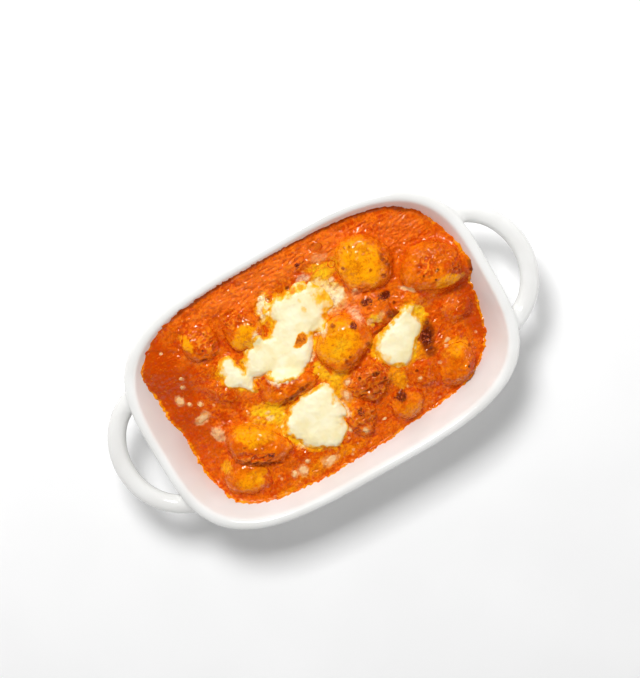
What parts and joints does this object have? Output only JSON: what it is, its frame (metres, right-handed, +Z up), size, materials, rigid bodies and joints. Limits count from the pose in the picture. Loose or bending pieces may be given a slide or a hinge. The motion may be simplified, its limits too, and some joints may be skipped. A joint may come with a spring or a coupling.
{
  "type": "baked potato gnocchi in a gratin dish",
  "caption": "Potato gnocchi baked in tomato-cream sauce with melted mozzarella, in a white ceramic gratin dish with loop handles.",
  "frame": {"origin": "middle of the dish's footprint, at the height of the surface it stands on", "axes": "+X along the dish through both handles, +Y towards the dish's rear long side, +Z up"},
  "size_m": [0.252, 0.1366, 0.052],
  "materials": {
    "glaze": "glossy white glaze",
    "sauce": "glossy orange-red tomato-cream sauce, browned at the rear edge",
    "dough": "golden baked potato dough under a thin coat of sauce, browned in spots",
    "cheese": "melted white mozzarella, yellow and translucent at its edges"
  },
  "bodies": {
    "root": {"dish": "glaze", "gnocco_01": "dough", "gnocco_02": "dough", "gnocco_03": "dough", "gnocco_04": "dough", "gnocco_05": "dough", "gnocco_06": "dough", "gnocco_07": "dough", "gnocco_08": "dough", "gnocco_09": "dough", "gnocco_10": "dough", "gnocco_11": "dough", "gnocco_12": "dough", "gnocco_13": "dough", "gnocco_14": "dough", "gnocco_15": "dough", "gnocco_16": "dough", "gnocco_17": "dough", "mozzarella_01": "cheese", "mozzarella_02": "cheese", "mozzarella_03": "cheese", "mozzarella_04": "cheese", "sauce": "sauce"}
  },
  "joints": []
}
